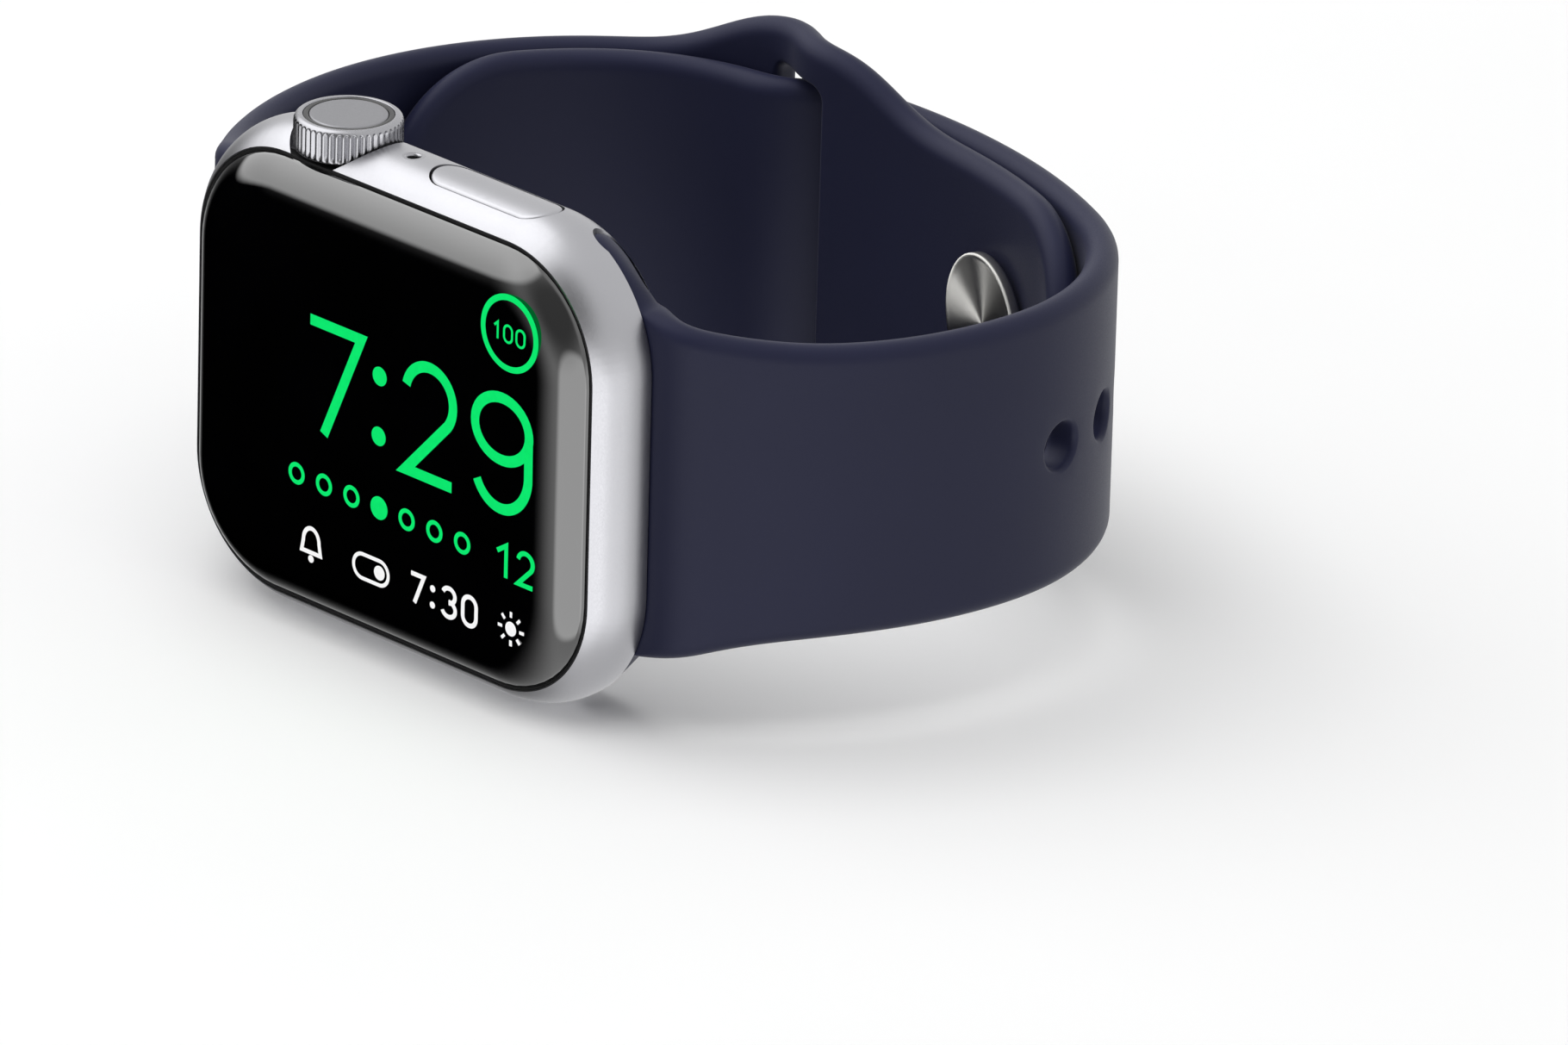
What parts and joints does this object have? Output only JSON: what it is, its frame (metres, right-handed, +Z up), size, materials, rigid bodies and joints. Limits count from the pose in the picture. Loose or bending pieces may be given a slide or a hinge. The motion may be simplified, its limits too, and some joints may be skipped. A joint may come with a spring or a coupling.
{
  "type": "smartwatch",
  "caption": "Smartwatch with a rounded rectangular case, turning crown, side button, domed back crystal and a pin-and-tuck strap fastened in a loop.",
  "frame": {"origin": "on the narrow flat of the case's left side, which it rests on, at the middle of the case's length and on its widest line", "axes": "+X from 12 o'clock to 6 o'clock, +Y from the display to the wrist, +Z up through the crown"},
  "size_m": [0.0628, 0.05, 0.0351],
  "materials": {
    "case_aluminium": "bead-blasted and anodised, satin silver",
    "crown_aluminium": "machined and anodised, satin silver",
    "cover_glass": "polished, printed black behind",
    "gasket_rubber": "matt black",
    "display_stack": "laminated display",
    "flex_circuit": "amber polyimide film",
    "circuit_board": "solder mask",
    "steel_small": "stamped or turned",
    "battery_pouch": "black wrapped pouch",
    "haptic_alloy": "sintered heavy alloy",
    "black_plastic": "moulded",
    "fine_mesh": "woven black mesh",
    "microphone_can": "plated can",
    "back_plate": "polished dark ceramic",
    "back_crystal": "polished, tinted dark behind",
    "copper_coil": "enamelled copper wire",
    "magnet": "nickel plated",
    "crown_ring": "polished black",
    "bearing_polymer": "machined",
    "strap_rubber": "moulded fluoroelastomer, satin midnight blue",
    "stud_metal": "spun bright"
  },
  "bodies": {
    "case": {"case_body": "case_aluminium", "cover_glass": "cover_glass", "glass_gasket": "gasket_rubber", "display_panel": "display_stack", "display_flex": "flex_circuit", "main_board": "circuit_board", "board_screws": "steel_small", "battery": "battery_pouch", "battery_flex": "flex_circuit", "haptic_housing": "steel_small", "haptic_springs": "steel_small", "speaker_module": "black_plastic", "speaker_mesh": "fine_mesh", "microphone": "microphone_can", "mic_mesh": "fine_mesh", "back_plate": "back_plate", "back_gasket": "gasket_rubber", "sensor_crystal": "back_crystal", "sensor_board": "circuit_board", "charging_coil": "copper_coil", "charging_magnet": "magnet", "crown_bushing": "bearing_polymer", "crown_seal": "gasket_rubber", "crown_encoder": "black_plastic", "crown_switch": "steel_small", "side_button_seal": "gasket_rubber", "side_button_switch": "steel_small", "button_bracket": "steel_small"},
    "crown_slider": {"crown_thrust_pad": "bearing_polymer"},
    "crown": {"crown_barrel": "crown_aluminium", "crown_disc": "crown_aluminium", "crown_ring": "crown_ring", "crown_shaft": "steel_small", "crown_clip": "steel_small"},
    "side_key": {"side_button": "case_aluminium", "side_button_clip": "steel_small"},
    "release_12": {"release_button_12": "case_aluminium"},
    "release_6": {"release_button_6": "case_aluminium"},
    "haptic_weight": {"haptic_mass": "haptic_alloy"},
    "strap": {"strap_short": "strap_rubber", "strap_long": "strap_rubber", "stud_disc": "stud_metal", "stud_pin": "stud_metal", "lug_core_12": "steel_small", "lug_core_6": "steel_small", "lug_catch_12": "steel_small", "lug_catch_6": "steel_small", "lug_spring_12": "steel_small", "lug_spring_6": "steel_small"}
  },
  "joints": [
    {"name": "crown_press", "type": "slide", "parent": "case", "child": "crown_slider", "axis": [0, 0, -1], "range_m": [0, 0.00025], "stiffness_N_per_m": 4000, "springref_m": -0.00025},
    {"name": "crown_turn", "type": "hinge", "parent": "crown_slider", "child": "crown", "pos_m": [-0.008, 0, 0.03], "axis": [0, 0, 1], "continuous": true},
    {"name": "side_button_press", "type": "slide", "parent": "case", "child": "side_key", "axis": [0, 0, -1], "range_m": [0, 0.00025], "stiffness_N_per_m": 4000, "springref_m": -0.00025},
    {"name": "release_12_press", "type": "slide", "parent": "case", "child": "release_12", "axis": [0, -1, 0], "range_m": [0, 0.00055], "stiffness_N_per_m": 1500, "springref_m": -0.0004},
    {"name": "release_6_press", "type": "slide", "parent": "case", "child": "release_6", "axis": [0, -1, 0], "range_m": [0, 0.00055], "stiffness_N_per_m": 1500, "springref_m": -0.0004},
    {"name": "haptic_slide", "type": "slide", "parent": "case", "child": "haptic_weight", "axis": [1, 0, 0], "range_m": [-0.0004, 0.0004], "stiffness_N_per_m": 1400, "deforming": ["haptic_springs"]},
    {"name": "strap_slide", "type": "slide", "parent": "case", "child": "strap", "axis": [0, 0, 1], "range_m": [0, 0.03], "deforming": ["lug_catch_12", "lug_catch_6", "lug_spring_12", "lug_spring_6"]}
  ]
}
